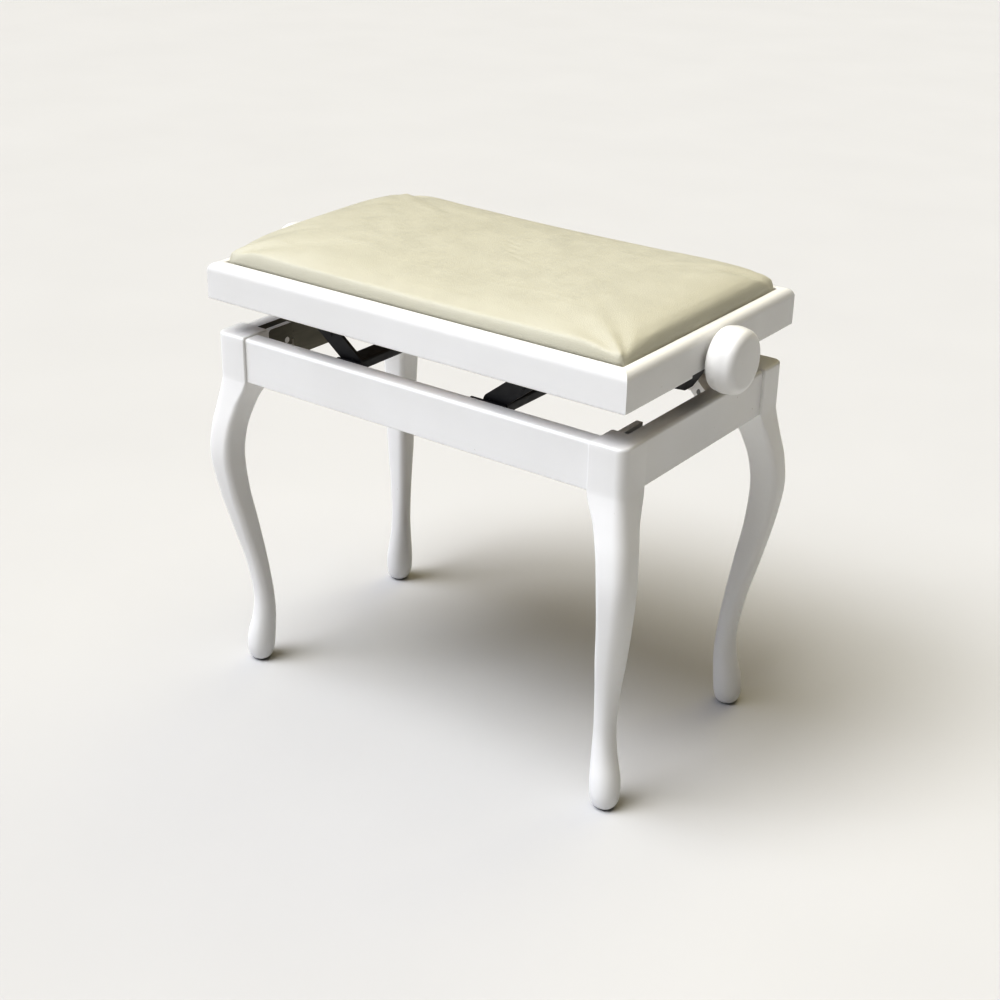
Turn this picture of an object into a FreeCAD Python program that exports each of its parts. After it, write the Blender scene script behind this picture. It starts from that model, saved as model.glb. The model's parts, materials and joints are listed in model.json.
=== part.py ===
import FreeCAD, Part
import math
import os

os.makedirs("parts", exist_ok=True)

V = FreeCAD.Vector
UP = V(0, 0, 1)

# ---------------------------------------------------------------------------
# Driving dimensions, in millimetres. +X is the sitter's right as the bench is
# seen from the front, -Y is the front, +Z is up. The origin is on the floor,
# at the middle of the bench's footprint.
# ---------------------------------------------------------------------------

# seat frame: four mitred rails with a rebate that holds the upholstered board
SEAT_L = 550.0
SEAT_W = 338.0
SEAT_Z0 = 471.0
SEAT_Z1 = 513.0
RAIL_T = 28.0
RIM_T = 14.4
LEDGE_Z = 498.0
TOP_ROUND = 10.0
BOARD_T = 9.0
BOARD_GAP = 0.6
COVER_T = 1.2

# cushion: a steep edge above the rim, then a low crown
CROWN_STEPS = (
    # height above the board, inset from the full size, corner radius
    (0.0, 0.0, 7.0),
    (10.0, 0.0, 7.5),
    (14.0, 3.0, 10.0),
    (21.0, 10.0, 16.0),
    (28.0, 20.0, 24.0),
    (33.5, 34.0, 34.0),
    (37.0, 60.0, 40.0),
    (38.0, 100.0, 40.0),
)

# base: four cabriole legs, four rails, corner blocks and cleats
LEG_X = 272.85
LEG_Y = 162.55
LEG_BLOCK = 42.0
LEG_TOP = 431.7
LEG_FOOT = 2.5
APRON_Z0 = 378.0
APRON_Z1 = 430.0
APRON_T = 20.0
APRON_SET = 3.05
TENON_T = 8.0
TENON_L = 18.0
TENON_H = 36.0
BLOCK_Z0 = 378.0
BLOCK_Z1 = 400.0
BLOCK_REACH = 78.0
CLEAT_T = 15.0
CLEAT_L = 38.0
CLEAT_Y = 99.0
CLEAT_Z0 = 402.0
CLEAT_Z1 = 428.0

# the corner of each leg that faces outwards is rounder than the other three
OUTER_SOFTER = 1.75

# leg outline: height, lean outwards along X, lean outwards along Y, half width, roundness
LEG_SHAPE = (
    (LEG_FOOT, 3.0, -7.0, 11.5, 0.94),
    (8.0, 3.0, -7.0, 14.5, 0.94),
    (20.0, 2.5, -7.0, 16.5, 0.94),
    (38.0, 1.0, -8.0, 16.3, 0.94),
    (65.0, -2.5, -10.0, 13.6, 0.92),
    (95.0, -3.0, -9.5, 11.8, 0.86),
    (140.0, 1.0, -4.0, 12.2, 0.72),
    (190.0, 8.5, 5.0, 14.4, 0.58),
    (235.0, 15.0, 13.0, 15.6, 0.50),
    (280.0, 18.3, 17.8, 17.1, 0.45),
    (315.0, 15.3, 15.3, 17.7, 0.42),
    (345.0, 8.5, 8.5, 18.8, 0.38),
    (366.0, 2.5, 2.5, 20.5, 0.32),
    (APRON_Z0, 0.0, 0.0, 21.0, 0.30),
)

# lift: a half-scissor at the front and back of each end, driven by one spindle
AXIS_Z = 483.0
PIVOT_X = 93.0
PIVOT_Z = 428.0
ARM_L = 90.0
ARM_RISE = AXIS_Z - PIVOT_Z
ARM_RUN = math.sqrt(ARM_L ** 2 - ARM_RISE ** 2)
NUT_X = PIVOT_X + ARM_RUN
MID_X = PIVOT_X + ARM_RUN / 2
MID_Z = PIVOT_Z + ARM_RISE / 2
ARM_W = 20.5
ARM_Y0 = 130.0
ARM_Y1 = 134.0
STAY_W = 16.0
STAY_Y0 = 125.5
STAY_Y1 = 129.5
PIN_R = 4.0
PIN_CLEAR = 0.05
TRUNNION_R = 5.0
NUT_BAR = 20.0
SPINDLE_R = 6.0
KNOB_R = 35.0
KNOB_X0 = 278.5
KNOB_X1 = 312.0
PLATE_T = 3.0

ENDS = (("left", -1), ("right", 1))
SIDES = (("front", -1), ("back", 1))


# ---------------------------------------------------------------------------
# helpers
# ---------------------------------------------------------------------------

def save(name, shape):
    """Writes one node's solids."""
    shape.exportStep("parts/" + name + ".step")


def block(x0, x1, y0, y1, z0, z1):
    """A box between two corners, in any order."""
    low = V(min(x0, x1), min(y0, y1), min(z0, z1))
    size = (abs(x1 - x0), abs(y1 - y0), abs(z1 - z0))
    return Part.makeBox(size[0], size[1], size[2], low)


def rod(radius, start, end):
    """A round bar between two points."""
    return Part.makeCylinder(radius, (end - start).Length, start, end - start)


def prism(points, direction):
    """A flat outline pushed along a direction."""
    wire = Part.makePolygon(list(points) + [points[0]])
    return Part.Face(wire).extrude(direction)


def fillet_where(shape, radius, test):
    """Rounds the edges whose middle point passes the test."""
    edges = [e for e in shape.Edges if test(e.BoundBox.Center, e)]
    return shape.makeFillet(radius, edges)


def fuse_all(shapes):
    """One solid out of pieces that touch or overlap."""
    whole = shapes[0]
    for s in shapes[1:]:
        whole = whole.fuse(s)
    return whole.removeSplitter()


def rounded_wire(x0, x1, y0, y1, z, r00, r10, r11, r01):
    """A rectangle with four corner radii, as four lines and four arcs."""
    def corner(cx, cy, radius, quarter):
        a0 = math.pi / 2 * quarter
        pts = [V(cx + radius * math.cos(a0 + t), cy + radius * math.sin(a0 + t), z)
               for t in (0.0, math.pi / 4, math.pi / 2)]
        return Part.Arc(pts[0], pts[1], pts[2]).toShape()

    arcs = [
        corner(x1 - r11, y1 - r11, r11, 0),
        corner(x0 + r01, y1 - r01, r01, 1),
        corner(x0 + r00, y0 + r00, r00, 2),
        corner(x1 - r10, y0 + r10, r10, 3),
    ]
    edges = []
    for i, arc in enumerate(arcs):
        edges.append(arc)
        after = arcs[(i + 1) % 4]
        edges.append(Part.makeLine(arc.lastVertex().Point, after.firstVertex().Point))
    return Part.Wire(edges)


def wood_screw(head, direction, length, shank, head_r, head_h):
    """A countersunk wood screw. head is the middle of its flat face, direction is into the wood."""
    cone = Part.makeCone(head_r, shank, head_h, head, direction)
    return cone.fuse(rod(shank, head, head + direction * length)).removeSplitter()


def pan_screw(seat, direction, length, shank, head_r, head_h):
    """A round-headed screw. seat is where the head meets the plate, direction is into the wood."""
    top = rod(head_r, seat - direction * head_h, seat)
    top = fillet_where(top, head_h * 0.6, lambda c, e: (c - seat).dot(direction) < -head_h * 0.9)
    return top.fuse(rod(shank, seat, seat + direction * length)).removeSplitter()


def link(ax, az, bx, bz, y0, y1, width):
    """A flat bar with round ends between two pivots, lying in a plane of constant Y."""
    dx, dz = bx - ax, bz - az
    run = math.hypot(dx, dz)
    nx, nz = -dz / run * width / 2, dx / run * width / 2
    outline = [V(ax + nx, y0, az + nz), V(bx + nx, y0, bz + nz),
               V(bx - nx, y0, bz - nz), V(ax - nx, y0, az - nz)]
    bar = prism(outline, V(0, y1 - y0, 0))
    ends = [rod(width / 2, V(x, y0, z), V(x, y1, z)) for x, z in ((ax, az), (bx, bz))]
    return fuse_all([bar] + ends)


# ---------------------------------------------------------------------------
# seat frame
# ---------------------------------------------------------------------------

HALF_L = SEAT_L / 2
HALF_W = SEAT_W / 2
BIG = 400.0


def rail_bar(length_half, width_half):
    """A straight rail along X at the front: rebated, with a rounded top outer edge, not yet mitred."""
    y0 = -width_half
    body = block(-length_half, length_half, y0, y0 + RAIL_T, SEAT_Z0, LEDGE_Z)
    rim = block(-length_half, length_half, y0, y0 + RIM_T, LEDGE_Z, SEAT_Z1)
    bar = body.fuse(rim).removeSplitter()
    bar = fillet_where(bar, TOP_ROUND, lambda c, e: abs(c.y - y0) < 0.01 and abs(c.z - SEAT_Z1) < 0.01)
    bar = fillet_where(bar, 1.5, lambda c, e: abs(c.y - y0 - RIM_T) < 0.01 and abs(c.z - SEAT_Z1) < 0.01)
    return fillet_where(bar, 2.0, lambda c, e: abs(c.y - y0) < 0.01 and abs(c.z - SEAT_Z0) < 0.01)


def mitre(bar, length_half, width_half):
    """Cuts both ends of a front rail along the lines from the frame's outer corners at 45 degrees."""
    y0 = -width_half
    keep = prism([V(-length_half, y0, 0), V(length_half, y0, 0),
                  V(length_half - RAIL_T * 2, y0 + RAIL_T * 2, 0),
                  V(-length_half + RAIL_T * 2, y0 + RAIL_T * 2, 0)], V(0, 0, BIG * 2))
    return bar.common(keep)


long_rail = mitre(rail_bar(HALF_L, HALF_W), HALF_L, HALF_W)
short_rail = mitre(rail_bar(HALF_W, HALF_L), HALF_W, HALF_L)
seat_rails = {
    "seat_rail_front": long_rail,
    "seat_rail_back": long_rail.rotated(V(), UP, 180),
    "seat_rail_right": short_rail.rotated(V(), UP, 90),
    "seat_rail_left": short_rail.rotated(V(), UP, -90),
}

# the spindle passes through both end rails, which are notched below for its bearing plate
NOTCH_HALF = 45.0
NOTCH_DEPTH = 4.0
for end, sx in ENDS:
    rail = seat_rails["seat_rail_" + end]
    hole = rod(SPINDLE_R + 1.0, V(sx * (HALF_L - RAIL_T - 5), 0, AXIS_Z), V(sx * (HALF_L + 5), 0, AXIS_Z))
    notch = block(sx * (HALF_L - RAIL_T - 5), sx * (HALF_L + 5), -NOTCH_HALF, NOTCH_HALF,
                  SEAT_Z0 - 5, SEAT_Z0 + NOTCH_DEPTH)
    seat_rails["seat_rail_" + end] = rail.cut(hole).cut(notch)

# upholstered board, foam and vinyl cover
PAD_X = HALF_L - RIM_T - BOARD_GAP
PAD_Y = HALF_W - RIM_T - BOARD_GAP
PAD_Z = LEDGE_Z + BOARD_T


def pillow(shrink, lift):
    """The cushion's crowned block, or the same block shrunk evenly to make room for the cover."""
    wires = []
    for height, inset, radius in CROWN_STEPS:
        x = PAD_X - inset - shrink
        y = PAD_Y - inset - shrink
        r = max(radius - shrink, 2.0)
        z = PAD_Z + height - (shrink if height > 12.0 else 0.0)
        wires.append(rounded_wire(-x, x, -y, y, z + (lift if height == 0.0 else 0.0), r, r, r, r))
    return Part.makeLoft(wires, True, True)


foam = pillow(COVER_T, 0.0)
cover = pillow(0.0, 0.0).cut(pillow(COVER_T, -1.0))
board = block(-PAD_X, PAD_X, -PAD_Y, PAD_Y, LEDGE_Z, PAD_Z)
board = fillet_where(board, 5.0, lambda c, e: abs(c.z - (LEDGE_Z + PAD_Z) / 2) < 0.01)

# screws that hold the board down, up through the ledge of the seat rails
LEDGE_MID = RIM_T + (RAIL_T - RIM_T) / 2
board_screws = []
for x in (-180.0, 0.0, 180.0):
    for side, sy in SIDES:
        head = V(x, sy * (HALF_W - LEDGE_MID), SEAT_Z0 + 12.0)
        screw = pan_screw(head, UP, 20.0, 2.0, 4.0, 2.6)
        well = rod(5.0, V(head.x, head.y, SEAT_Z0 - 1), head)
        board_screws.append(screw)
        rail_name = "seat_rail_" + side
        seat_rails[rail_name] = seat_rails[rail_name].cut(well).cut(rod(2.0, head, head + UP * 20))
        board = board.cut(rod(2.0, head, head + UP * 20))

# ---------------------------------------------------------------------------
# base: legs, rails, corner blocks, cleats and glides
# ---------------------------------------------------------------------------

BLOCK_CX = LEG_X - LEG_BLOCK / 2
BLOCK_CY = LEG_Y - LEG_BLOCK / 2
APRON_OUT_X = LEG_X - APRON_SET
APRON_OUT_Y = LEG_Y - APRON_SET
APRON_IN_X = APRON_OUT_X - APRON_T
APRON_IN_Y = APRON_OUT_Y - APRON_T
TENON_Z0 = (APRON_Z0 + APRON_Z1 - TENON_H) / 2
TENON_Z1 = TENON_Z0 + TENON_H


def leg_section(z, lean_x, lean_y, half, roundness):
    """One slice of the front right leg, with its outer corner at +X, -Y."""
    cx = BLOCK_CX + lean_x
    cy = -(BLOCK_CY + lean_y)
    soft = half * roundness
    outer = min(soft * OUTER_SOFTER, half * 0.94)
    return rounded_wire(cx - half, cx + half, cy - half, cy + half, z, soft, outer, soft, soft)


def make_leg():
    """The front right leg: a square block above, then a cabriole curve down to a round foot."""
    curve = Part.makeLoft([leg_section(*row) for row in LEG_SHAPE], True, False)
    top = Part.Face(leg_section(APRON_Z0, 0.0, 0.0, LEG_BLOCK / 2, 0.30)).extrude(
        V(0, 0, LEG_TOP - APRON_Z0))
    top = fillet_where(top, 3.0, lambda c, e: abs(c.z - LEG_TOP) < 0.01)
    return curve.fuse(top)


def tenon_x(sx, sy):
    """The tongue of a front or back rail inside one leg."""
    inner = LEG_X - LEG_BLOCK
    mid = APRON_OUT_Y - APRON_T / 2
    return block(sx * inner, sx * (inner + TENON_L), sy * (mid - TENON_T / 2), sy * (mid + TENON_T / 2),
                 TENON_Z0, TENON_Z1)


def tenon_y(sx, sy):
    """The tongue of an end rail inside one leg."""
    inner = LEG_Y - LEG_BLOCK
    mid = APRON_OUT_X - APRON_T / 2
    return block(sx * (mid - TENON_T / 2), sx * (mid + TENON_T / 2), sy * inner, sy * (inner + TENON_L),
                 TENON_Z0, TENON_Z1)


glide = rod(9.0, V(0, 0, 0), V(0, 0, LEG_FOOT))
glide = fillet_where(glide, 1.0, lambda c, e: c.z < 0.01)
nail = rod(1.5, V(0, 0, LEG_FOOT), V(0, 0, LEG_FOOT + 16))
GLIDE_X = BLOCK_CX + LEG_SHAPE[0][1]
GLIDE_Y = BLOCK_CY + LEG_SHAPE[0][2]
leg = make_leg()
legs = {}
glides = []
for side, sy in SIDES:
    for end, sx in ENDS:
        one = leg
        if sx < 0:
            one = one.mirror(V(), V(1, 0, 0))
        if sy > 0:
            one = one.mirror(V(), V(0, 1, 0))
        spot = V(sx * GLIDE_X, sy * GLIDE_Y, 0)
        one = one.cut(tenon_x(sx, sy)).cut(tenon_y(sx, sy)).cut(nail.translated(spot))
        legs["leg_" + side + "_" + end] = one
        glides.append(glide.fuse(nail).removeSplitter().translated(spot))

aprons = {}
for side, sy in SIDES:
    inner = LEG_X - LEG_BLOCK
    bar = block(-inner, inner, sy * APRON_IN_Y, sy * APRON_OUT_Y, APRON_Z0, APRON_Z1)
    bar = fillet_where(bar, 4.0, lambda c, e: abs(c.y - sy * APRON_OUT_Y) < 0.01 and abs(c.z - APRON_Z1) < 0.01)
    bar = fillet_where(bar, 1.5, lambda c, e: abs(c.y - sy * APRON_OUT_Y) < 0.01 and abs(c.z - APRON_Z0) < 0.01)
    aprons["base_rail_" + side] = fuse_all([bar, tenon_x(-1, sy), tenon_x(1, sy)])
for end, sx in ENDS:
    inner = LEG_Y - LEG_BLOCK
    bar = block(sx * APRON_IN_X, sx * APRON_OUT_X, -inner, inner, APRON_Z0, APRON_Z1)
    bar = fillet_where(bar, 4.0, lambda c, e: abs(c.x - sx * APRON_OUT_X) < 0.01 and abs(c.z - APRON_Z1) < 0.01)
    bar = fillet_where(bar, 1.5, lambda c, e: abs(c.x - sx * APRON_OUT_X) < 0.01 and abs(c.z - APRON_Z0) < 0.01)
    aprons["base_rail_" + end] = fuse_all([bar, tenon_y(sx, -1), tenon_y(sx, 1)])

# diagonal blocks glued and screwed into the four inside corners, notched round the legs
corner_blocks = {}
corner_screws = []
for side, sy in SIDES:
    for end, sx in ENDS:
        cx = sx * APRON_IN_X
        cy = sy * APRON_IN_Y
        shape = prism([V(cx, cy, BLOCK_Z0), V(cx - sx * BLOCK_REACH, cy, BLOCK_Z0),
                       V(cx - sx * (BLOCK_REACH - 12), cy - sy * 12, BLOCK_Z0),
                       V(cx - sx * 12, cy - sy * (BLOCK_REACH - 12), BLOCK_Z0),
                       V(cx, cy - sy * BLOCK_REACH, BLOCK_Z0)], V(0, 0, BLOCK_Z1 - BLOCK_Z0))
        room = block(sx * (LEG_X - LEG_BLOCK) - sx * 0.2, sx * LEG_X, sy * (LEG_Y - LEG_BLOCK) - sy * 0.2,
                     sy * LEG_Y, BLOCK_Z0 - 1, BLOCK_Z1 + 1)
        shape = shape.cut(room)
        level = (BLOCK_Z0 + BLOCK_Z1) / 2
        for start, way, rail_name in (
            (V(cx - sx * 52, cy - sy * 25.0, level), V(0, sy, 0), "base_rail_" + side),
            (V(cx - sx * 25.0, cy - sy * 52, level), V(sx, 0, 0), "base_rail_" + end),
        ):
            screw = wood_screw(start, way, 37.0, 2.0, 4.0, 3.0)
            corner_screws.append(screw)
            shape = shape.cut(screw).cut(rod(4.0, start - way * 20, start))
            aprons[rail_name] = aprons[rail_name].cut(screw)
        corner_blocks["corner_block_" + side + "_" + end] = shape

# upright cleats on the end rails keep the lowered seat from swinging sideways
cleats = {}
cleat_screws = []
for side, sy in SIDES:
    for end, sx in ENDS:
        y0 = sy * (CLEAT_Y - CLEAT_L / 2)
        y1 = sy * (CLEAT_Y + CLEAT_L / 2)
        shape = block(sx * APRON_IN_X, sx * (APRON_IN_X - CLEAT_T), y0, y1, CLEAT_Z0, CLEAT_Z1)
        shape = shape.cut(block(sx * APRON_IN_X, sx * (APRON_IN_X - CLEAT_T + 7), y0, y1, CLEAT_Z1 - 12, CLEAT_Z1))
        inner_x = sx * (APRON_IN_X - CLEAT_T)
        shape = fillet_where(shape, 5.0, lambda c, e: abs(c.x - inner_x - sx * 3.5) < 0.01
                             and abs(c.z - CLEAT_Z1) < 0.01 and abs(abs(c.y) - (CLEAT_Y + CLEAT_L / 2)) < 0.01)
        for dy in (-11.0, 11.0):
            head = V(inner_x, sy * CLEAT_Y + dy, CLEAT_Z0 + 6.5)
            screw = wood_screw(head, V(sx, 0, 0), 27.0, 1.9, 3.8, 2.8)
            cleat_screws.append(screw)
            shape = shape.cut(screw)
            aprons["base_rail_" + end] = aprons["base_rail_" + end].cut(screw)
        cleats["cleat_" + side + "_" + end] = shape

# ---------------------------------------------------------------------------
# lift
# ---------------------------------------------------------------------------

lift_brackets = {}
bracket_screws = []
seat_brackets = {}
seat_screws = []
arms = {}
stays = {}
cross_tubes = {}
stay_pins = {"left": [], "right": []}
nut_bars = {}
SEAT_IN_Y = HALF_W - RAIL_T

for end, sx in ENDS:
    px = sx * PIVOT_X
    nx = sx * NUT_X
    mx = sx * MID_X
    for side, sy in SIDES:
        # fixed plate on the base rail, with the pin that the lift arm turns on
        plate_x0 = sx * (PIVOT_X - 23)
        plate_x1 = sx * (PIVOT_X + 19)
        plate = block(plate_x0, plate_x1, sy * (APRON_IN_Y - PLATE_T), sy * APRON_IN_Y, 384.0, 430.5)
        plate = fillet_where(plate, 4.0, lambda c, e: abs(c.y - sy * (APRON_IN_Y - PLATE_T / 2)) < 0.01
                             and abs(c.z - 384.0) < 0.01)
        boss = rod(7.0, V(px, sy * (APRON_IN_Y - PLATE_T), PIVOT_Z - 4.5),
                   V(px, sy * (ARM_Y1 + 0.3), PIVOT_Z - 4.5))
        boss = boss.common(block(px - 7, px + 7, sy * 120, sy * 145, PIVOT_Z - 12, PIVOT_Z + 2.5))
        pin = rod(PIN_R, V(px, sy * (APRON_IN_Y - PLATE_T), PIVOT_Z), V(px, sy * (ARM_Y0 + 0.2), PIVOT_Z))
        pin = pin.common(block(px - 9, px + 9, sy * 120, sy * 145, PIVOT_Z - 9, PIVOT_Z + 9))
        bracket = fuse_all([plate, boss, pin])
        for dx in (-15.0, 12.0):
            for dz in (395.0, 412.0):
                seat_point = V(px + sx * dx, sy * (APRON_IN_Y - PLATE_T), dz)
                way = V(0, sy, 0)
                bracket_screws.append(pan_screw(seat_point, way, 18.0, 1.9, 3.6, 1.8))
                shank = rod(1.9, seat_point, seat_point + way * 18)
                bracket = bracket.cut(shank)
                aprons["base_rail_" + side] = aprons["base_rail_" + side].cut(shank)
        lift_brackets["lift_bracket_" + side + "_" + end] = bracket

        # plate on the seat rail, with the pin that the stay turns on
        plate = block(px - 17, px + 17, sy * (SEAT_IN_Y - PLATE_T), sy * SEAT_IN_Y, 473.0, 496.5)
        plate = fillet_where(plate, 4.0, lambda c, e: abs(c.y - sy * (SEAT_IN_Y - PLATE_T / 2)) < 0.01)
        pin = rod(PIN_R, V(px, sy * (SEAT_IN_Y - PLATE_T), AXIS_Z), V(px, sy * (STAY_Y0 - 1.2), AXIS_Z))
        collar = rod(6.5, V(px, sy * (SEAT_IN_Y - PLATE_T), AXIS_Z), V(px, sy * (STAY_Y1 + 0.2), AXIS_Z))
        bracket = fuse_all([plate, collar, pin])
        for dx in (-12.0, 12.0):
            seat_point = V(px + dx, sy * (SEAT_IN_Y - PLATE_T), AXIS_Z + 6)
            way = V(0, sy, 0)
            seat_screws.append(pan_screw(seat_point, way, 18.0, 1.9, 3.6, 1.8))
            shank = rod(1.9, seat_point, seat_point + way * 18)
            bracket = bracket.cut(shank)
            seat_rails["seat_rail_" + side] = seat_rails["seat_rail_" + side].cut(shank)
        seat_brackets["seat_bracket_" + side + "_" + end] = bracket

        # lift arm from the base pivot to the nut bar
        arm = link(px, PIVOT_Z, nx, AXIS_Z, sy * ARM_Y0, sy * ARM_Y1, ARM_W)
        arm = arm.cut(rod(PIN_R + PIN_CLEAR, V(px, sy * 120, PIVOT_Z), V(px, sy * 145, PIVOT_Z)))
        arm = arm.cut(rod(TRUNNION_R + PIN_CLEAR, V(nx, sy * 120, AXIS_Z), V(nx, sy * 145, AXIS_Z)))
        arm = arm.cut(rod(PIN_R, V(mx, sy * 120, MID_Z), V(mx, sy * 145, MID_Z)))
        arms["lift_arm_" + side + "_" + end] = arm

        # rivet through the middle of the arm, and the stay that turns on it
        rivet = fuse_all([
            rod(6.0, V(mx, sy * (ARM_Y1 + 1.6), MID_Z), V(mx, sy * ARM_Y1, MID_Z)),
            rod(PIN_R, V(mx, sy * ARM_Y1, MID_Z), V(mx, sy * (STAY_Y0 - 0.1), MID_Z)),
            rod(6.0, V(mx, sy * (STAY_Y0 - 0.1), MID_Z), V(mx, sy * (STAY_Y0 - 1.2), MID_Z)),
        ])
        stay_pins[end].append(rivet)
        stay = link(mx, MID_Z, px, AXIS_Z, sy * STAY_Y0, sy * STAY_Y1, STAY_W)
        for x, z in ((mx, MID_Z), (px, AXIS_Z)):
            stay = stay.cut(rod(PIN_R + PIN_CLEAR, V(x, sy * 120, z), V(x, sy * 145, z)))
        stays["stay_" + side + "_" + end] = stay

    # tube welded between the two arms of this end, so that they rise together
    tube = block(sx * 86.0, sx * 111.0, -ARM_Y0, ARM_Y0, 418.0, 430.0)
    tube = fillet_where(tube, 3.0, lambda c, e: abs(c.y) < 0.01)
    bore = block(sx * 88.0, sx * 109.0, -ARM_Y0 - 1, ARM_Y0 + 1, 420.0, 428.0)
    cross_tubes["cross_tube_" + end] = tube.cut(bore)

    # square bar tapped for the spindle, with round ends that turn in the arms
    bar = block(nx - NUT_BAR / 2, nx + NUT_BAR / 2, -124.0, 124.0, AXIS_Z - NUT_BAR / 2, AXIS_Z + NUT_BAR / 2)
    bar = fillet_where(bar, 2.0, lambda c, e: abs(c.y) < 0.01)
    trunnion = rod(TRUNNION_R, V(nx, -136.0, AXIS_Z), V(nx, 136.0, AXIS_Z))
    tapped = rod(SPINDLE_R + PIN_CLEAR, V(nx - 20, 0, AXIS_Z), V(nx + 20, 0, AXIS_Z))
    nut_bars["nut_bar_" + end] = fuse_all([bar, trunnion]).cut(tapped)

# ---------------------------------------------------------------------------
# spindle, its bearing plates, collars and knobs
# ---------------------------------------------------------------------------

spindle_plates = {}
collars = []
knobs = {}
SEAT_IN_X = HALF_L - RAIL_T
for end, sx in ENDS:
    inner = sx * (SEAT_IN_X - PLATE_T)
    outer = sx * SEAT_IN_X
    upright = prism([V(inner, -NOTCH_HALF + 1, 496.0), V(inner, NOTCH_HALF - 1, 496.0),
                     V(inner, NOTCH_HALF - 1, 466.0), V(inner, 28.0, 449.0), V(inner, 8.0, 441.0),
                     V(inner, -8.0, 441.0), V(inner, -28.0, 449.0), V(inner, -NOTCH_HALF + 1, 466.0)],
                    V(sx * PLATE_T, 0, 0))
    flange = block(outer, sx * (HALF_L - 8), -NOTCH_HALF + 1, NOTCH_HALF - 1, SEAT_Z0 + 1, SEAT_Z0 + NOTCH_DEPTH)
    plate = fuse_all([upright, flange])
    plate = plate.cut(rod(SPINDLE_R + PIN_CLEAR, V(inner - sx * 5, 0, AXIS_Z), V(outer + sx * 5, 0, AXIS_Z)))
    for y in (-32.0, 32.0):
        seat_point = V(sx * (HALF_L - 17), y, SEAT_Z0 + 1)
        seat_screws.append(pan_screw(seat_point, UP, 18.0, 1.9, 3.6, 1.8))
        shank = rod(1.9, seat_point, seat_point + UP * 18)
        plate = plate.cut(shank)
        seat_rails["seat_rail_" + end] = seat_rails["seat_rail_" + end].cut(shank)
    spindle_plates["spindle_plate_" + end] = plate

    plate_in_x = SEAT_IN_X - PLATE_T
    for x0, x1, radius in ((HALF_L + 0.5, KNOB_X0 - 0.3, 11.0), (plate_in_x - 6.5, plate_in_x - 0.3, 10.0)):
        ring = rod(radius, V(sx * x0, 0, AXIS_Z), V(sx * x1, 0, AXIS_Z))
        collars.append(ring.cut(rod(SPINDLE_R, V(sx * (x0 - 2), 0, AXIS_Z), V(sx * (x1 + 2), 0, AXIS_Z))))

    knob = rod(KNOB_R, V(sx * KNOB_X0, 0, AXIS_Z), V(sx * KNOB_X1, 0, AXIS_Z))
    knob = fillet_where(knob, 8.0, lambda c, e: abs(c.x - sx * KNOB_X1) < 0.01)
    knob = fillet_where(knob, 8.0, lambda c, e: abs(c.x - sx * KNOB_X0) < 0.01)
    knobs["knob_" + end] = knob.cut(rod(SPINDLE_R, V(sx * KNOB_X0 - sx, 0, AXIS_Z), V(sx * 302.0, 0, AXIS_Z)))

spindle = rod(SPINDLE_R, V(-302.0, 0, AXIS_Z), V(302.0, 0, AXIS_Z))

# ---------------------------------------------------------------------------
# one file for each piece
# ---------------------------------------------------------------------------

for group in (seat_rails, legs, aprons, corner_blocks, cleats, lift_brackets, seat_brackets,
              arms, stays, cross_tubes, nut_bars, spindle_plates, knobs):
    for name, shape in group.items():
        save(name, shape)

save("seat_board", board)
save("seat_foam", foam)
save("seat_cover", cover)
save("spindle", spindle)
save("foot_glides", Part.makeCompound(glides))
save("corner_block_screws", Part.makeCompound(corner_screws))
save("cleat_screws", Part.makeCompound(cleat_screws))
save("lift_bracket_screws", Part.makeCompound(bracket_screws))
save("seat_plate_screws", Part.makeCompound(seat_screws))
save("board_screws", Part.makeCompound(board_screws))
save("spindle_collars", Part.makeCompound(collars))
save("rivets_left", Part.makeCompound(stay_pins["left"]))
save("rivets_right", Part.makeCompound(stay_pins["right"]))
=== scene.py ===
import json
import math
import bpy
import bmesh
import numpy as np
from mathutils import Matrix, Vector, noise


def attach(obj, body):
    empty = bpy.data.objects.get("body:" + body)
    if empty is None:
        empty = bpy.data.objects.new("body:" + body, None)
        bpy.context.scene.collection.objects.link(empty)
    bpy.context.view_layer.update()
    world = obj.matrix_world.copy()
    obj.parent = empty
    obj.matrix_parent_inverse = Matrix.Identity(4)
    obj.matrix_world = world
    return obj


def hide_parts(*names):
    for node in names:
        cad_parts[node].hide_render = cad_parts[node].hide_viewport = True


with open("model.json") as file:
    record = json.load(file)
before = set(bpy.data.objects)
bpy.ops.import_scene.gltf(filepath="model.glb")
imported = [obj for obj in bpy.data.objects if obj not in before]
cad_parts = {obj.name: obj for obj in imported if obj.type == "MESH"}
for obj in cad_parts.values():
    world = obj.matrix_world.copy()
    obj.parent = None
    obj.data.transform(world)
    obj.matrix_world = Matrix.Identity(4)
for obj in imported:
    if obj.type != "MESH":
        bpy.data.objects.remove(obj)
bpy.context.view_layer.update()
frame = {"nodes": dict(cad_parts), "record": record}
NODES = frame["nodes"]
MM = 0.001
UP = Vector((0, 0, 1))

# ---------------------------------------------------------------------------
# camera: to the bench's front right, and a little above it
# ---------------------------------------------------------------------------

CAM_AZIMUTH = math.radians(35.872)
CAM_ELEVATION = math.radians(25.299)
CAM_DISTANCE = 1.81608
CAM_TARGET = Vector((0.04616, -0.05016, 0.27282))
CAM_ROLL = math.radians(1.185)
CAM_LENS = 58.514
CAM_SENSOR = 36.0
CAM_FAR = 50.0


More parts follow.
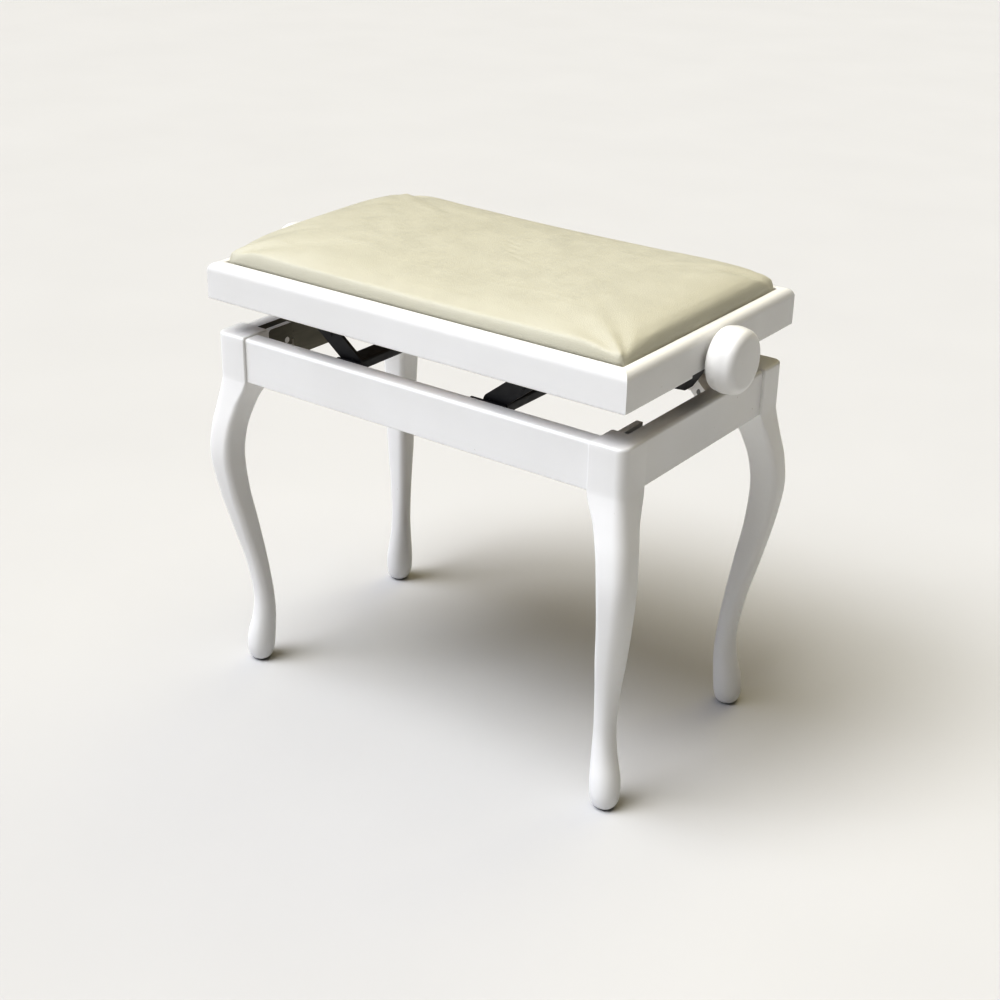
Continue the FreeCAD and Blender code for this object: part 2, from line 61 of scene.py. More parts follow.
def add_camera():
    back = Vector((math.sin(CAM_AZIMUTH) * math.cos(CAM_ELEVATION),
                   -math.cos(CAM_AZIMUTH) * math.cos(CAM_ELEVATION),
                   math.sin(CAM_ELEVATION)))
    right = (-back).cross(UP).normalized()
    up = right.cross(-back)
    cos_roll, sin_roll = math.cos(CAM_ROLL), math.sin(CAM_ROLL)
    x_axis = right * cos_roll + up * sin_roll
    y_axis = up * cos_roll - right * sin_roll
    data = bpy.data.cameras.new("camera")
    data.sensor_width = CAM_SENSOR
    data.lens = CAM_LENS
    data.clip_end = CAM_FAR
    camera = bpy.data.objects.new("camera", data)
    rotation = Matrix((x_axis, y_axis, back)).transposed().to_4x4()
    camera.matrix_world = Matrix.Translation(CAM_TARGET + back * CAM_DISTANCE) @ rotation
    bpy.context.scene.collection.objects.link(camera)
    bpy.context.scene.camera = camera


# ---------------------------------------------------------------------------
# node materials
# ---------------------------------------------------------------------------

class Mat:
    """A small helper that builds one node material round a Principled shader."""

    def __init__(self, name, rough=0.4, metal=0.0, **sockets):
        self.mat = bpy.data.materials.new(name)
        self.mat.use_nodes = True
        self.tree = self.mat.node_tree
        self.bsdf = self.tree.nodes["Principled BSDF"]
        self.bsdf.inputs["Roughness"].default_value = rough
        self.bsdf.inputs["Metallic"].default_value = metal
        for key, value in sockets.items():
            self.bsdf.inputs[key.replace("_", " ")].default_value = value
        self.coord = self.add("ShaderNodeTexCoord").outputs["Object"]
        self.normal = None

    def add(self, kind, **props):
        node = self.tree.nodes.new(kind)
        for key, value in props.items():
            setattr(node, key, value)
        return node

    def link(self, out, socket):
        self.tree.links.new(out, socket)

    def stretch(self, scale):
        """Object coordinates, scaled differently on each axis."""
        node = self.add("ShaderNodeMapping")
        node.inputs["Scale"].default_value = scale
        self.link(self.coord, node.inputs["Vector"])
        return node.outputs["Vector"]

    def noise(self, scale, detail=4.0, rough=0.5, distort=0.0, coord=None):
        node = self.add("ShaderNodeTexNoise")
        node.inputs["Scale"].default_value = scale
        node.inputs["Detail"].default_value = detail
        node.inputs["Roughness"].default_value = rough
        node.inputs["Distortion"].default_value = distort
        self.link(coord or self.coord, node.inputs["Vector"])
        return node.outputs["Fac"]

    def cells(self, scale):
        """How far a point is from the edge of its cell."""
        node = self.add("ShaderNodeTexVoronoi", feature="DISTANCE_TO_EDGE")
        node.inputs["Scale"].default_value = scale
        self.link(self.coord, node.inputs["Vector"])
        return node.outputs["Distance"]

    def ramp(self, fac, low, high):
        """Blends from one colour to another. Each is (place on the scale, colour)."""
        node = self.add("ShaderNodeValToRGB")
        for element, (at, colour) in zip(node.color_ramp.elements, (low, high)):
            element.position = at
            element.color = (*colour, 1.0)
        self.link(fac, node.inputs["Fac"])
        return node.outputs["Color"]

    def grey(self, fac, low, high, at=(0.35, 0.65)):
        return self.ramp(fac, (at[0], (low,) * 3), (at[1], (high,) * 3))

    def mix(self, fac, a, b):
        node = self.add("ShaderNodeMix", data_type="RGBA")
        self.put(node.inputs[0], fac)
        self.put(node.inputs[6], a)
        self.put(node.inputs[7], b)
        return node.outputs[2]

    def times(self, fac, factor):
        node = self.add("ShaderNodeMath", operation="MULTIPLY")
        self.put(node.inputs[0], fac)
        self.put(node.inputs[1], factor)
        return node.outputs[0]

    def put(self, socket, value):
        if isinstance(value, bpy.types.NodeSocket):
            self.link(value, socket)
        elif isinstance(value, tuple) and len(value) == 3:
            socket.default_value = (*value, 1.0)
        else:
            socket.default_value = value

    def colour(self, value):
        self.put(self.bsdf.inputs["Base Color"], value)

    def roughness(self, value):
        self.put(self.bsdf.inputs["Roughness"], value)

    def bump(self, height, distance, strength):
        node = self.add("ShaderNodeBump")
        node.inputs["Strength"].default_value = strength
        node.inputs["Distance"].default_value = distance
        self.link(height, node.inputs["Height"])
        if self.normal is not None:
            self.link(self.normal, node.inputs["Normal"])
        self.normal = node.outputs["Normal"]
        self.link(self.normal, self.bsdf.inputs["Normal"])


def white_paint():
    m = Mat("white_paint", rough=0.36, Coat_Weight=0.12, Coat_Roughness=0.22)
    cloud = m.noise(9.0, 3.0)
    base = m.ramp(cloud, (0.30, (0.830, 0.826, 0.812)), (0.72, (0.862, 0.860, 0.850)))
    specks = m.grey(m.noise(190.0, 2.0), 0.0, 1.0, (0.775, 0.80))
    base = m.mix(specks, base, (0.60, 0.58, 0.53))
    m.colour(base)
    m.roughness(m.grey(m.noise(26.0, 4.0), 0.30, 0.44))
    brush = m.noise(60.0, 3.0, coord=m.stretch((0.35, 0.35, 1.0)))
    m.bump(brush, 0.0004, 0.10)
    m.bump(m.noise(420.0, 2.0), 0.00012, 0.35)
    return m.mat


def inside_painted_shade():
    """The inner faces of the base, left rough, and painted dark: painted shade for the shade that
    falls inside the base.
    """
    m = Mat("inside_painted_shade", rough=0.75)
    grain = m.noise(7.0, 5.0, 0.6, 0.8, m.stretch((1.0, 1.0, 9.0)))
    base = m.ramp(grain, (0.30, (0.125, 0.120, 0.092)), (0.72, (0.200, 0.190, 0.150)))
    marks = m.grey(m.noise(75.0, 2.0), 0.0, 1.0, (0.70, 0.74))
    m.colour(m.mix(marks, base, (0.05, 0.047, 0.04)))
    m.bump(grain, 0.0004, 0.3)
    return m.mat


def vinyl():
    m = Mat("cream_vinyl", rough=0.46, Sheen_Weight=0.05, Coat_Weight=0.06, Coat_Roughness=0.35)
    base = m.ramp(m.noise(5.5, 3.0), (0.30, (0.597, 0.578, 0.474)), (0.72, (0.627, 0.611, 0.512)))
    rubbed = m.grey(m.noise(34.0, 5.0, 0.6), 0.0, 1.0, (0.62, 0.80))
    base = m.mix(m.times(rubbed, 0.25), base, (0.56, 0.54, 0.42))
    spots = m.grey(m.noise(85.0, 1.0), 0.0, 1.0, (0.80, 0.86))
    base = m.mix(m.times(spots, 0.12), base, (0.42, 0.40, 0.28))
    cells = m.cells(620.0)
    pits = m.grey(cells, 0.0, 1.0, (0.02, 0.22))
    # painted shade: the grooves along the cell edges of the grain are coloured a little darker
    base = m.mix(m.grey(cells, 0.10, 0.0, (0.0, 0.12)), base, (0.48, 0.46, 0.34))
    m.colour(base)
    m.roughness(m.grey(m.noise(40.0, 3.0), 0.40, 0.54))
    m.bump(m.noise(22.0, 3.0, 0.5, 0.6), 0.0018, 0.10)
    m.bump(pits, 0.00022, 0.55)
    return m.mat


def black_steel():
    m = Mat("black_steel", rough=0.42)
    base = m.ramp(m.noise(30.0, 4.0), (0.3, (0.012, 0.012, 0.014)), (0.7, (0.026, 0.026, 0.030)))
    scuffs = m.grey(m.noise(140.0, 5.0, 0.7), 0.0, 1.0, (0.66, 0.74))
    base = m.mix(m.times(scuffs, 0.25), base, (0.10, 0.10, 0.11))
    m.colour(base)
    m.roughness(m.grey(m.noise(120.0, 4.0), 0.34, 0.55))
    m.bump(m.noise(600.0, 2.0), 0.00015, 0.45)
    return m.mat


def bright_steel(name, tint, rough):
    m = Mat(name, rough=rough, metal=0.95)
    streaks = m.noise(220.0, 4.0, coord=m.stretch((0.08, 1.0, 1.0)))
    dark = tuple(c * 0.72 for c in tint)
    base = m.ramp(streaks, (0.3, dark), (0.7, tint))
    grime = m.grey(m.noise(45.0, 5.0, 0.6), 0.0, 1.0, (0.55, 0.75))
    base = m.mix(m.times(grime, 0.35), base, (0.10, 0.085, 0.07))
    m.colour(base)
    m.roughness(m.grey(streaks, rough - 0.07, rough + 0.12))
    m.bump(streaks, 0.0001, 0.3)
    return m.mat


def plywood():
    """Birch plywood: broad face grain, and its plies as fine level lines on the edges."""
    m = Mat("plywood", rough=0.7)
    coord = m.stretch((2.2, 30.0, 30.0))
    grain = m.noise(1.6, 5.0, 0.6, 1.8, coord)
    base = m.ramp(grain, (0.35, (0.47, 0.33, 0.19)), (0.65, (0.66, 0.51, 0.33)))
    plies = m.noise(1.0, 1.0, 0.4, 0.0, m.stretch((0.5, 0.5, 620.0)))
    base = m.mix(m.grey(plies, 0.0, 0.35, (0.50, 0.56)), base, (0.28, 0.18, 0.10))
    m.colour(base)
    m.bump(grain, 0.0003, 0.3)
    return m.mat


def nylon():
    m = Mat("nylon", rough=0.5)
    m.colour(m.ramp(m.noise(60.0, 3.0), (0.3, (0.50, 0.49, 0.45)), (0.7, (0.62, 0.61, 0.57))))
    m.roughness(m.grey(m.noise(200.0, 3.0), 0.42, 0.66))
    m.bump(m.noise(500.0, 2.0), 0.0002, 0.4)
    return m.mat


MATS = {
    "white_paint": white_paint(),
    "inside_painted_shade": inside_painted_shade(),
    "vinyl": vinyl(),
    "black_steel": black_steel(),
    "bright_steel": bright_steel("bright_steel", (0.42, 0.42, 0.44), 0.34),
    "screw_steel": bright_steel("screw_steel", (0.24, 0.235, 0.225), 0.40),
    "plywood": plywood(),
    "glide": nylon(),
}


# ---------------------------------------------------------------------------
# mesh helpers
# ---------------------------------------------------------------------------

def new_object(name, bm, slot, body=None, split=None):
    """Turns a bmesh into a smooth piece with a slot and its material, on a body if one is named."""
    bmesh.ops.recalc_face_normals(bm, faces=bm.faces)
    mesh = bpy.data.meshes.new(name)
    bm.to_mesh(mesh)
    bm.free()
    obj = bpy.data.objects.new(name, mesh)
    bpy.context.scene.collection.objects.link(obj)
    for poly in mesh.polygons:
        poly.use_smooth = True
    if split is not None:
        mesh.set_sharp_from_angle(angle=math.radians(split))
    mesh.materials.append(MATS[slot])
    if body is not None:
        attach(obj, body)
    return obj


def skin(rings):
    """Joins rings of points with quads, and closes both ends."""
    bm = bmesh.new()
    rows = [[bm.verts.new(p) for p in ring] for ring in rings]
    count = len(rows[0])
    for a, b in zip(rows, rows[1:]):
        for i in range(count):
            j = (i + 1) % count
            bm.faces.new((a[i], a[j], b[j], b[i]))
    bm.faces.new(list(reversed(rows[0])))
    bm.faces.new(rows[-1])
    return bm


def spline(stations, steps):
    """A smooth run through rows of numbers, by Catmull-Rom with monotone ends."""
    rows = []
    last = len(stations) - 1
    for i in range(last):
        p0 = stations[max(i - 1, 0)]
        p1, p2 = stations[i], stations[i + 1]
        p3 = stations[min(i + 2, last)]
        for k in range(steps):
            t = k / steps
            row = []
            for a, b, c, d in zip(p0, p1, p2, p3):
                row.append(0.5 * (2 * b + (c - a) * t + (2 * a - 5 * b + 4 * c - d) * t * t
                                  + (3 * b - a - 3 * c + d) * t ** 3))
            rows.append(row)
    rows.append(list(stations[last]))
    return rows


LATHE_STEPS = 96


def lathe(name, profile, origin, axis, slot, body):
    """Turns a list of (distance along the axis, radius) points about an axis."""
    axis = Vector(axis).normalized()
    side = axis.orthogonal().normalized()
    other = axis.cross(side)
    rings = []
    for along, radius in profile:
        ring = []
        for i in range(LATHE_STEPS):
            a = 2 * math.pi * i / LATHE_STEPS
            outwards = side * math.cos(a) + other * math.sin(a)
            ring.append(Vector(origin) + axis * along + outwards * radius)
        rings.append(ring)
    return new_object(name, skin(rings), slot, body, split=50)


# ---------------------------------------------------------------------------
# legs: the same outline as the solids, with smooth surfaces
# ---------------------------------------------------------------------------

LEG_X, LEG_Y, BLOCK, LEG_TOP = 272.85, 162.55, 42.0, 431.7
BLOCK_CX, BLOCK_CY = LEG_X - BLOCK / 2, LEG_Y - BLOCK / 2
BLOCK_Z = 378.0
LEG_FOOT = 2.5
LEG_SHAPE = (
    # height, lean outwards along X, lean outwards along Y, half width, roundness
    (LEG_FOOT, 3.0, -7.0, 11.5, 0.94),
    (8.0, 3.0, -7.0, 14.5, 0.94),
    (20.0, 2.5, -7.0, 16.5, 0.94),
    (38.0, 1.0, -8.0, 16.3, 0.94),
    (65.0, -2.5, -10.0, 13.6, 0.92),
    (95.0, -3.0, -9.5, 11.8, 0.86),
    (140.0, 1.0, -4.0, 12.2, 0.72),
    (190.0, 8.5, 5.0, 14.4, 0.58),
    (235.0, 15.0, 13.0, 15.6, 0.50),
    (280.0, 18.3, 17.8, 17.1, 0.45),
    (315.0, 15.3, 15.3, 17.7, 0.42),
    (345.0, 8.5, 8.5, 18.8, 0.38),
    (366.0, 2.5, 2.5, 20.5, 0.32),
    (BLOCK_Z, 0.0, 0.0, BLOCK / 2, 0.30),
)
BLOCK_RINGS = (384.0, 405.0, 424.0)
TOP_EDGE, TOP_STEPS = 3.2, 6
FOOT_EDGE = 1.5
CORNER_STEPS = 9
MOST_ROUND = 0.94
# the corner of a leg that faces outwards is rounder, and the other three sharpen towards the block
OUTER_SOFTER = 1.75
KNEE_TOP, SHARPENED = 350.0, 0.72


def leg_ring(z, lean_x, lean_y, half, roundness, sx, sy, inset=0.0):
    """One slice of a leg: a square with round corners, the outward one rounder."""
    half -= inset
    soft = max(half * roundness - inset * 0.3, 0.5)
    softer = min(soft * OUTER_SOFTER, half * MOST_ROUND)
    squared = max(0.0, min(1.0, (z - KNEE_TOP) / (BLOCK_Z - KNEE_TOP)))
    soft *= 1 - SHARPENED * squared
    cx, cy = BLOCK_CX + lean_x, BLOCK_CY + lean_y
    ring = []
    for quarter, (qx, qy) in enumerate(((1, 1), (-1, 1), (-1, -1), (1, -1))):
        radius = softer if quarter == 0 else soft
        inner = half - radius
        for k in range(CORNER_STEPS):
            a = math.pi / 2 * (quarter + k / (CORNER_STEPS - 1))
            x = cx + qx * inner + radius * math.cos(a)
            y = cy + qy * inner + radius * math.sin(a)
            ring.append(Vector((sx * x, sy * y, z)) * MM)
    return ring


def make_leg(side, end, sx, sy):
    """One cabriole leg: a small flat under the foot, the curve, then the square block."""
    rings = [leg_ring(*LEG_SHAPE[0], sx, sy, inset=FOOT_EDGE)]
    rings += [leg_ring(*row, sx, sy) for row in spline(LEG_SHAPE, 7)]
    block = LEG_SHAPE[-1][1:]
    for z in BLOCK_RINGS:
        rings.append(leg_ring(z, *block, sx, sy))
    for k in range(TOP_STEPS):
        a = math.pi / 2 * k / (TOP_STEPS - 1)
        rings.append(leg_ring(LEG_TOP - TOP_EDGE * (1 - math.sin(a)), *block, sx, sy,
                              inset=TOP_EDGE * (1 - math.cos(a))))
    name = f"leg_{side}_{end}"
    leg = new_object(name + "_turned", skin(rings), "white_paint", "base", split=60)
    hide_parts(name)


# ---------------------------------------------------------------------------
# cushion: a stuffed vinyl cover, blown up by a cloth simulation
# ---------------------------------------------------------------------------

PAD_X, PAD_Y, RIM_Z, PAD_Z = 260.2, 154.2, 513.0, 507.3
GRID_X, GRID_Y, GRID_POWER = 112, 76, 1.35
# the crown: its edge above the rim, its height, and how full its ends, sides and shoulders are
EDGE_RISE, EDGE_WIDTH, CROWN = 4.8, 2.0, 26.3
END_POWER, SIDE_POWER, SHOULDER_POWER = 8.8, 3.1, 0.45
# the stuffing is uneven: fuller to one side, and a little hollow in the middle
TILT_X, TILT_Y, DIP = -3.1, 3.0, 2.6
# a soft roll along the front and the back edge
FRONT_ROLL, BACK_ROLL, ROLL_WIDTH, ROLL_START = 3.2, 4.5, 8.0, 1.5
# the simulation, and how much of its movement is kept
START_FILL, SLACK, STIFFNESS = 0.86, 0.004, 3.0
VOXEL, SIM_FRAMES, PRESSURE, MOST_MOVED, SIDEWAYS_KEPT = 5.0, 20, 4.0, 10.0, 0.1
FINE_PASSES, BROAD_PASSES, CREASE_KEPT = 3, 40, 0.05
PLEATS = (
    # drawn in from the front corners, and fainter from the back ones: start, end, height, half width
    ((259.0, 152.5), (222.0, 124.0), 0.7, 2.4),
    ((259.0, 152.5), (170.0, 143.5), 0.3, 2.4),
    ((253.0, 152.5), (247.0, 100.0), 0.25, 2.6),
)
BACK_PLEATS = 0.3
RIPPLES = (
    # anywhere on the cover: start, end, height, half width
    ((-14.0, 34.0), (14.0, 24.0), -0.55, 2.2),
    ((-8.0, 22.0), (22.0, 12.0), -0.50, 2.0),
    ((2.0, 8.0), (34.0, -2.0), -0.55, 2.2),
    ((22.0, -6.0), (56.0, -20.0), -0.50, 2.4),
    ((0.0, 50.0), (20.0, 42.0), -0.40, 2.0),
)
LAZY_RISE, LAZY_X, LAZY_Y, LAZY_SEED = 0.35, 62.0, 48.0, 3.7


def crown_height(x, y):
    """The stuffed cover's height above the rim: a steep edge, round shoulders and a shallow dip."""
    u, v = min(abs(x) / PAD_X, 1.0), min(abs(y) / PAD_Y, 1.0)
    near = min((1 - u) * PAD_X, (1 - v) * PAD_Y)
    full = ((1 - u ** END_POWER) * (1 - v ** SIDE_POWER)) ** SHOULDER_POWER
    uneven = TILT_X * x / PAD_X + TILT_Y * y / PAD_Y - DIP * math.cos(math.pi * x / PAD_X)
    side = (1 - v) * PAD_Y
    roll = (FRONT_ROLL if y < 0 else BACK_ROLL) * math.exp(-(side / ROLL_WIDTH) ** 2)
    roll *= 1 - math.exp(-side / ROLL_START)
    roll *= (1 - u ** END_POWER) ** 0.5
    return EDGE_RISE * (1 - math.exp(-near / EDGE_WIDTH)) + (CROWN + uneven) * full + roll


def spread(count):
    """Grid lines from -1 to 1, closer together near both ends."""
    lines = []
    for i in range(count + 1):
        t = 2 * i / count - 1
        lines.append(math.copysign(1 - (1 - abs(t)) ** GRID_POWER, t))
    return lines


def cushion_form(x_lines, y_lines, fill):
    """A closed pad: a crowned top, short upright sides and a flat underside."""
    bm = bmesh.new()

    def layer(height):
        """One point for each crossing of the grid lines, at the height given for that place."""
        points = [[(x * PAD_X, y * PAD_Y) for x in x_lines] for y in y_lines]
        return [[bm.verts.new(Vector((x, y, height(x, y))) * MM) for x, y in row] for row in points]

    top = layer(lambda x, y: RIM_Z + fill * crown_height(x, y))
    base = layer(lambda x, y: PAD_Z)
    rows, cols = len(y_lines), len(x_lines)
    for r in range(rows - 1):
        for c in range(cols - 1):
            bm.faces.new((top[r][c], top[r][c + 1], top[r + 1][c + 1], top[r + 1][c]))
            bm.faces.new((base[r][c], base[r + 1][c], base[r + 1][c + 1], base[r][c + 1]))
    for c in range(cols - 1):
        bm.faces.new((base[0][c], base[0][c + 1], top[0][c + 1], top[0][c]))
        bm.faces.new((base[-1][c + 1], base[-1][c], top[-1][c], top[-1][c + 1]))
    for r in range(rows - 1):
        bm.faces.new((base[r + 1][0], base[r][0], top[r][0], top[r + 1][0]))
        bm.faces.new((base[r][-1], base[r + 1][-1], top[r + 1][-1], top[r][-1]))
    return bm


def distance_to_line(x, y, start, end):
    """How far a point is from a line, and how far along it that is, from 0 to 1."""
    along = Vector(end) - Vector(start)
    t = max(0.0, min(1.0, (Vector((x, y)) - Vector(start)).dot(along) / along.length_squared))
    return (Vector((x, y)) - Vector(start) - along * t).length, t


def crease_height(x, y):
    """Small folds: pleats drawn in from each corner, and faint ripples near the middle."""
    far_x, far_y = abs(x), abs(y)
    height = 0.0
    for start, end, rise, width in PLEATS:
        away, t = distance_to_line(far_x, far_y, start, end)
        if away < width * 4:
            height += rise * (1 - t) ** 1.2 * min(1.0, t * 8 + 0.2) * math.exp(-(away / width) ** 2)
    if y > 0:
        height *= BACK_PLEATS
    for start, end, rise, width in RIPPLES:
        away, t = distance_to_line(x, y, start, end)
        if away < width * 4:
            height += rise * math.sin(math.pi * t) * math.exp(-(away / width) ** 2)
    return height + LAZY_RISE * noise.noise(Vector((x / LAZY_X, y / LAZY_Y, LAZY_SEED)))


def press_creases(piece):
    """Moves the top of the cover up or down by its small folds."""
    for vert in piece.data.vertices:
        x, y, z = vert.co / MM
        if z > RIM_Z + 1.0:
            fade = min(1.0, (z - RIM_Z - 1.0) / 4.0)
            vert.co.z += crease_height(x, y) * fade * MM


def keep_result(piece):
    """Applies every modifier on a piece to its mesh."""
    graph = bpy.context.evaluated_depsgraph_get()
    mesh = bpy.data.meshes.new_from_object(piece.evaluated_get(graph))
    piece.modifiers.clear()
    piece.data = mesh
    for poly in mesh.polygons:
        poly.use_smooth = True


def inflate(piece):
    """Blows the cover up with a cloth simulation, held below the rim."""
    remesh = piece.modifiers.new("even", "REMESH")
    remesh.mode = "VOXEL"
    remesh.voxel_size = VOXEL * MM
    keep_result(piece)
    start = [v.co.copy() for v in piece.data.vertices]
    held = piece.vertex_groups.new(name="held")
    held.add([i for i, p in enumerate(start) if p.z < (RIM_Z + 0.5) * MM], 1.0, "REPLACE")
    cloth = piece.modifiers.new("cloth", "CLOTH")
    cloth.settings.quality = 6
    cloth.settings.use_pressure = True
    cloth.settings.uniform_pressure_force = PRESSURE
    cloth.settings.vertex_group_mass = "held"
    cloth.settings.shrink_min = SLACK
    cloth.settings.bending_stiffness = STIFFNESS
    cloth.settings.effector_weights.gravity = 0.0
    cloth.collision_settings.use_collision = False
    cloth.point_cache.frame_start = 1
    cloth.point_cache.frame_end = SIM_FRAMES
    for number in range(1, SIM_FRAMES + 1):
        bpy.context.scene.frame_set(number)
    keep_result(piece)
    for vert, was in zip(piece.data.vertices, start):
        move = vert.co - was
        move.x *= SIDEWAYS_KEPT
        move.y *= SIDEWAYS_KEPT
        if move.length > MOST_MOVED * MM:
            move *= MOST_MOVED * MM / move.length
        vert.co = was + move
    piece.vertex_groups.clear()


def settle(piece):
    """Brings the blown-up cover back to the stuffing's height, and keeps its own small creases."""
    mesh = piece.data
    points = np.empty(len(mesh.vertices) * 3)
    mesh.vertices.foreach_get("co", points)
    points = points.reshape(-1, 3)
    links = np.empty(len(mesh.edges) * 2, dtype=np.int64)
    mesh.edges.foreach_get("vertices", links)
    one, two = links.reshape(-1, 2).T
    top = points[:, 2] > (RIM_Z + 1.0) * MM
    gap = np.array([RIM_Z + crown_height(x / MM, y / MM) - z / MM for x, y, z in points])
    gap = np.clip(np.where(top, gap, 0.0), -MOST_MOVED, MOST_MOVED)
    degree = np.bincount(one, minlength=len(points)) + np.bincount(two, minlength=len(points))
    for done in range(BROAD_PASSES):
        if done == FINE_PASSES:
            fine = gap
        total = (np.bincount(one, gap[two], minlength=len(points))
                 + np.bincount(two, gap[one], minlength=len(points)))
        gap = np.where(top, 0.5 * gap + 0.5 * total / degree, 0.0)
    points[:, 2] += (gap + (1 - CREASE_KEPT) * (fine - gap)) * MM
    mesh.vertices.foreach_set("co", points.ravel())
    mesh.update()


def make_cushion():
    """The cushion, in place of the solid cover and foam."""
    fill = START_FILL
    bm = cushion_form(spread(GRID_X), spread(GRID_Y), fill)
    cushion = new_object("seat_cushion", bm, "vinyl")
    inflate(cushion)
    settle(cushion)
    smoother = cushion.modifiers.new("finer", "SUBSURF")
    smoother.levels = smoother.render_levels = 1
    keep_result(cushion)
    press_creases(cushion)
    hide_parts("seat_cover", "seat_foam")
    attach(cushion, "seat")


# ---------------------------------------------------------------------------
# knobs and spindle
# ---------------------------------------------------------------------------

AXIS_Z = 483.0
KNOB_R, KNOB_X0, KNOB_X1, KNOB_BORE = 35.0, 278.5, 312.0, 7.0
KNOB_BARREL = 1.2
BACK_DEEP, BACK_WIDE, BACK_STEPS = 8.0, 7.8, 8
FACE_DEEP, FACE_WIDE, FACE_STEPS = 10.0, 10.0, 12
FACE_DISH = 0.6
KNOB_FACE = ((0.35, 19.0), (0.12, 11.0), (0.0, 4.0), (0.0, 1.0))


def make_knob(end, sx):
    """A turned wooden knob: a slightly barrelled side, a generous front edge and a near-flat face."""
    depth = KNOB_X1 - KNOB_X0
    waist = KNOB_R - KNOB_BARREL
    profile = [(0.0, KNOB_BORE), (0.0, waist - BACK_WIDE)]
    for k in range(1, BACK_STEPS + 1):
        a = math.pi / 2 * k / BACK_STEPS
        profile.append((BACK_DEEP * (1 - math.cos(a)), waist - BACK_WIDE * (1 - math.sin(a))))
    for k in range(1, BACK_STEPS):
        t = k / BACK_STEPS
        along = BACK_DEEP + (depth - BACK_DEEP - FACE_DEEP) * t
        profile.append((along, waist + KNOB_BARREL * math.sin(math.pi * t)))
    for k in range(FACE_STEPS + 1):
        a = math.pi / 2 * k / FACE_STEPS
        profile.append((depth - FACE_DEEP + (FACE_DEEP - FACE_DISH) * math.sin(a),
                        waist - FACE_WIDE * (1 - math.cos(a))))
    profile += [(depth - behind, radius) for behind, radius in KNOB_FACE]
    name = f"knob_{end}"
    knob = lathe(name + "_turned", [(d * MM, r * MM) for d, r in profile],
                 Vector((sx * KNOB_X0, 0, AXIS_Z)) * MM, (sx, 0, 0), "white_paint", "spindle")
    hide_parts(name)


SPINDLE_R, SPINDLE_HALF, SPINDLE_CHAMFER = 6.0, 302.0, 1.5
THREAD_PITCH, THREAD_DEPTH, THREAD_IN, THREAD_OUT, THREAD_FADE = 5.0, 0.9, 100.0, 232.0, 4.0
THREAD_FLANK = 2.2
TURN_STEPS = 20


def make_spindle():
    """A round bar with a right-hand thread on one half and a left-hand thread on the other."""
    step = THREAD_PITCH / TURN_STEPS
    count = int(2 * SPINDLE_HALF / step)
    rings = []
    for i in range(count + 1):
        x = -SPINDLE_HALF + i * step
        ring = []
        far = abs(x)
        shown = min(1.0, (far - THREAD_IN) / THREAD_FADE, (THREAD_OUT - far) / THREAD_FADE)
        depth = THREAD_DEPTH * max(0.0, shown)
        chamfer = max(0.0, SPINDLE_CHAMFER - (SPINDLE_HALF - far))
        for k in range(TURN_STEPS):
            a = 2 * math.pi * k / TURN_STEPS
            phase = (far / THREAD_PITCH - math.copysign(1, x) * k / TURN_STEPS) % 1.0
            wave = min(1.0, abs(2 * phase - 1) * THREAD_FLANK)
            r = SPINDLE_R - depth * (1 - wave) - chamfer
            ring.append(Vector((x, r * math.cos(a), AXIS_Z + r * math.sin(a))) * MM)
        rings.append(ring)
    spindle = new_object("spindle_threaded", skin(rings), "bright_steel", "spindle", split=40)
    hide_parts("spindle")


# ---------------------------------------------------------------------------
# carried-over solids: finishes, and softened edges
# ---------------------------------------------------------------------------

FACING = 0.9


def paint_shade_inside(obj, toward):
    """Gives the faces of a rail or cleat that look into the base their own rough material, dark with
    painted shade.
    """
    obj.data.materials.append(MATS["inside_painted_shade"])
    for poly in obj.data.polygons:
        if poly.normal.dot(toward) > FACING:
            poly.material_index = 1


def soften_edges(obj, width, segments, angle):
    """Rounds off the edges sharper than an angle, and returns the modifier."""
    bevel = obj.modifiers.new("soft_edges", "BEVEL")
    bevel.width = width * MM
    bevel.segments = segments
    bevel.limit_method = "ANGLE"
    bevel.angle_limit = math.radians(angle)
    return bevel


INWARD = {"left": Vector((1, 0, 0)), "right": Vector((-1, 0, 0))}
WOODEN = ("seat_rail", "base_rail", "cleat", "corner_block_front", "corner_block_back")
STEEL = ("lift_arm", "stay_", "cross_tube", "nut_bar")


def finish_solids():
    """Gives each solid that is still shown its finish, and softens the edges of the wooden and steel
    ones.
    """
    subparts = {s["node"]: s["material_slot"] for s in frame["record"]["subparts"]}
    for name, obj in NODES.items():
        if obj.hide_render:
            continue
        obj.data.materials.clear()
        obj.data.materials.append(MATS.get(subparts[name], MATS["white_paint"]))
        end = name.split("_")[-1]
        # the faces that look into the base get the dark material that carries painted shade
        if name.startswith(("base_rail", "cleat")) and end in INWARD:
            paint_shade_inside(obj, INWARD[end])
        if name.startswith(WOODEN):
            soften_edges(obj, 0.7, 2, 35).harden_normals = True
        if name.startswith(STEEL):
            soften_edges(obj, 0.4, 1, 50)


# ---------------------------------------------------------------------------
# floor and light
# ---------------------------------------------------------------------------

FLOOR_HALF, FLOOR_DROP = 30.0, 0.5


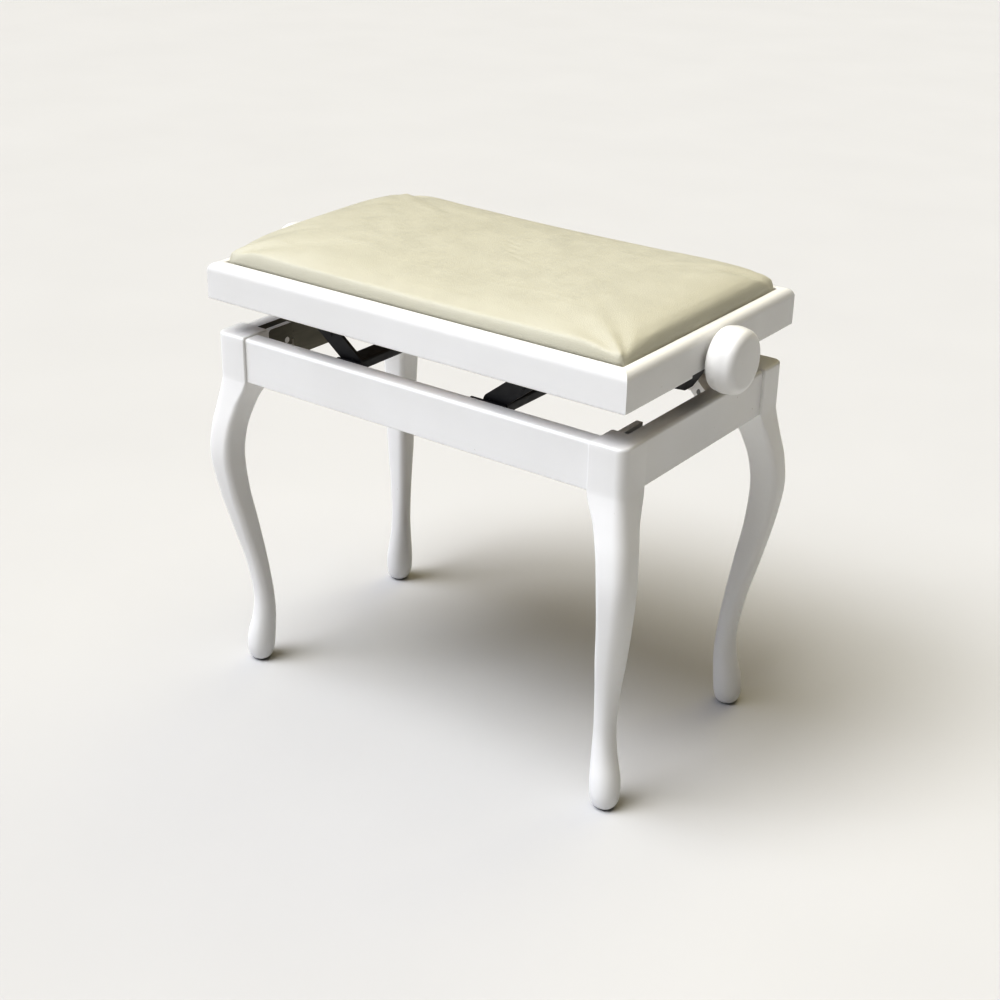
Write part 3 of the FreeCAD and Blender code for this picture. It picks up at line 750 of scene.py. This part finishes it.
def add_floor():
    bm = bmesh.new()
    bmesh.ops.create_grid(bm, x_segments=8, y_segments=8, size=FLOOR_HALF)
    mesh = bpy.data.meshes.new("floor")
    bm.to_mesh(mesh)
    bm.free()
    floor = bpy.data.objects.new("floor", mesh)
    floor.location.z = -FLOOR_DROP * MM
    bpy.context.scene.collection.objects.link(floor)
    m = Mat("floor_white", rough=0.9, Specular_IOR_Level=0.1)
    m.colour(m.ramp(m.noise(3.0, 2.0), (0.3, (0.595, 0.595, 0.597)), (0.7, (0.605, 0.605, 0.607))))
    mesh.materials.append(m.mat)


CAMERA_GAMMA = 0.77
SKY_COLOUR, SKY_STRENGTH = (1.0, 0.97, 0.93, 1.0), 0.01
LIGHT_DISTANCE = 3.0
LIGHTS = (
    # name, direction towards the light, strength, angle across in degrees, colour
    ("key", (-0.20, -0.35, 0.92), 2.67, 40.0, (0.95, 0.975, 1.0)),
    ("front", (-0.35, -0.55, 0.76), 1.05, 28.0, (0.93, 0.93, 1.0)),
    ("overhead", (0.0, 0.0, 1.0), 1.10, 60.0, (1.0, 0.89, 0.69)),
    ("window", (-0.80, -0.50, 0.50), 0.62, 40.0, (0.69, 0.76, 1.0)),
    ("behind", (0.0, 0.70, 0.70), 0.54, 40.0, (1.0, 0.89, 0.50)),
)


def add_sun(name, toward, strength, softness, colour):
    """A far, soft light. toward points from the bench to the light."""
    data = bpy.data.lights.new(name, "SUN")
    data.energy = strength
    data.angle = math.radians(softness)
    data.color = colour
    light = bpy.data.objects.new(name, data)
    light.rotation_euler = (-Vector(toward)).to_track_quat("-Z", "Y").to_euler()
    light.location = Vector(toward) * LIGHT_DISTANCE
    bpy.context.scene.collection.objects.link(light)


def add_lights():
    scene = bpy.context.scene
    world = bpy.data.worlds.new("studio")
    world.use_nodes = True
    shade = world.node_tree.nodes["Background"]
    shade.inputs["Color"].default_value = SKY_COLOUR
    shade.inputs["Strength"].default_value = SKY_STRENGTH
    scene.world = world
    scene.view_settings.view_transform = "Standard"
    scene.view_settings.gamma = CAMERA_GAMMA
    for light in LIGHTS:
        add_sun(*light)


add_camera()
for side, sy in (("front", -1), ("back", 1)):
    for end, sx in (("left", -1), ("right", 1)):
        make_leg(side, end, sx, sy)
for end, sx in (("left", -1), ("right", 1)):
    make_knob(end, sx)
make_spindle()
make_cushion()
finish_solids()
add_floor()
add_lights()

bpy.context.view_layer.update()
